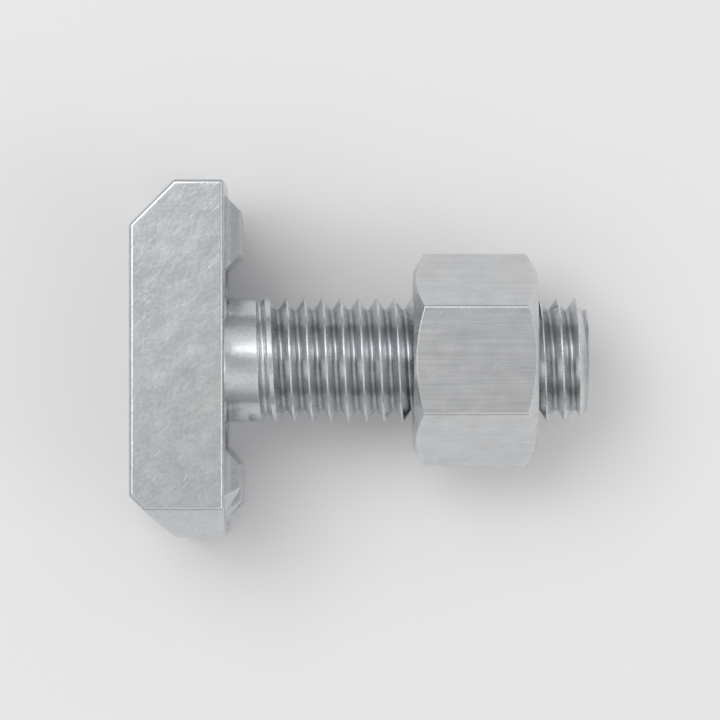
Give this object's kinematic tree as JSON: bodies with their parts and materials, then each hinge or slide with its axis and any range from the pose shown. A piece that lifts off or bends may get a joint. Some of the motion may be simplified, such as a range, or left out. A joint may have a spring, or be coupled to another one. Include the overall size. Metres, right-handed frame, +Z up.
{
  "type": "t slot bolt with hex nut",
  "caption": "Hammer-head T slot bolt with serrated pads under a chamfered head, a round shank with a notched tip, and a hex nut that travels along it.",
  "frame": {"origin": "on the shank's axis, in the plane of the head's underside, from which the serrated pads stand up", "axes": "+X along the shank from the head to the tip; Y the long way of the head; +Z up, the width of the head, which lies on its long side"},
  "size_m": [0.0441, 0.0344, 0.0196],
  "materials": {
    "bolt_steel": "forged carbon steel, bright zinc plated",
    "nut_steel": "cold formed carbon steel, bright zinc plated"
  },
  "bodies": {
    "bolt_body": {"bolt": "bolt_steel"},
    "nut_body": {"hex_nut": "nut_steel"}
  },
  "joints": [
    {"name": "nut_travel", "type": "slide", "parent": "bolt_body", "child": "nut_body", "axis": [1, 0, 0], "range_m": [-0.01225, 0.01575]}
  ]
}
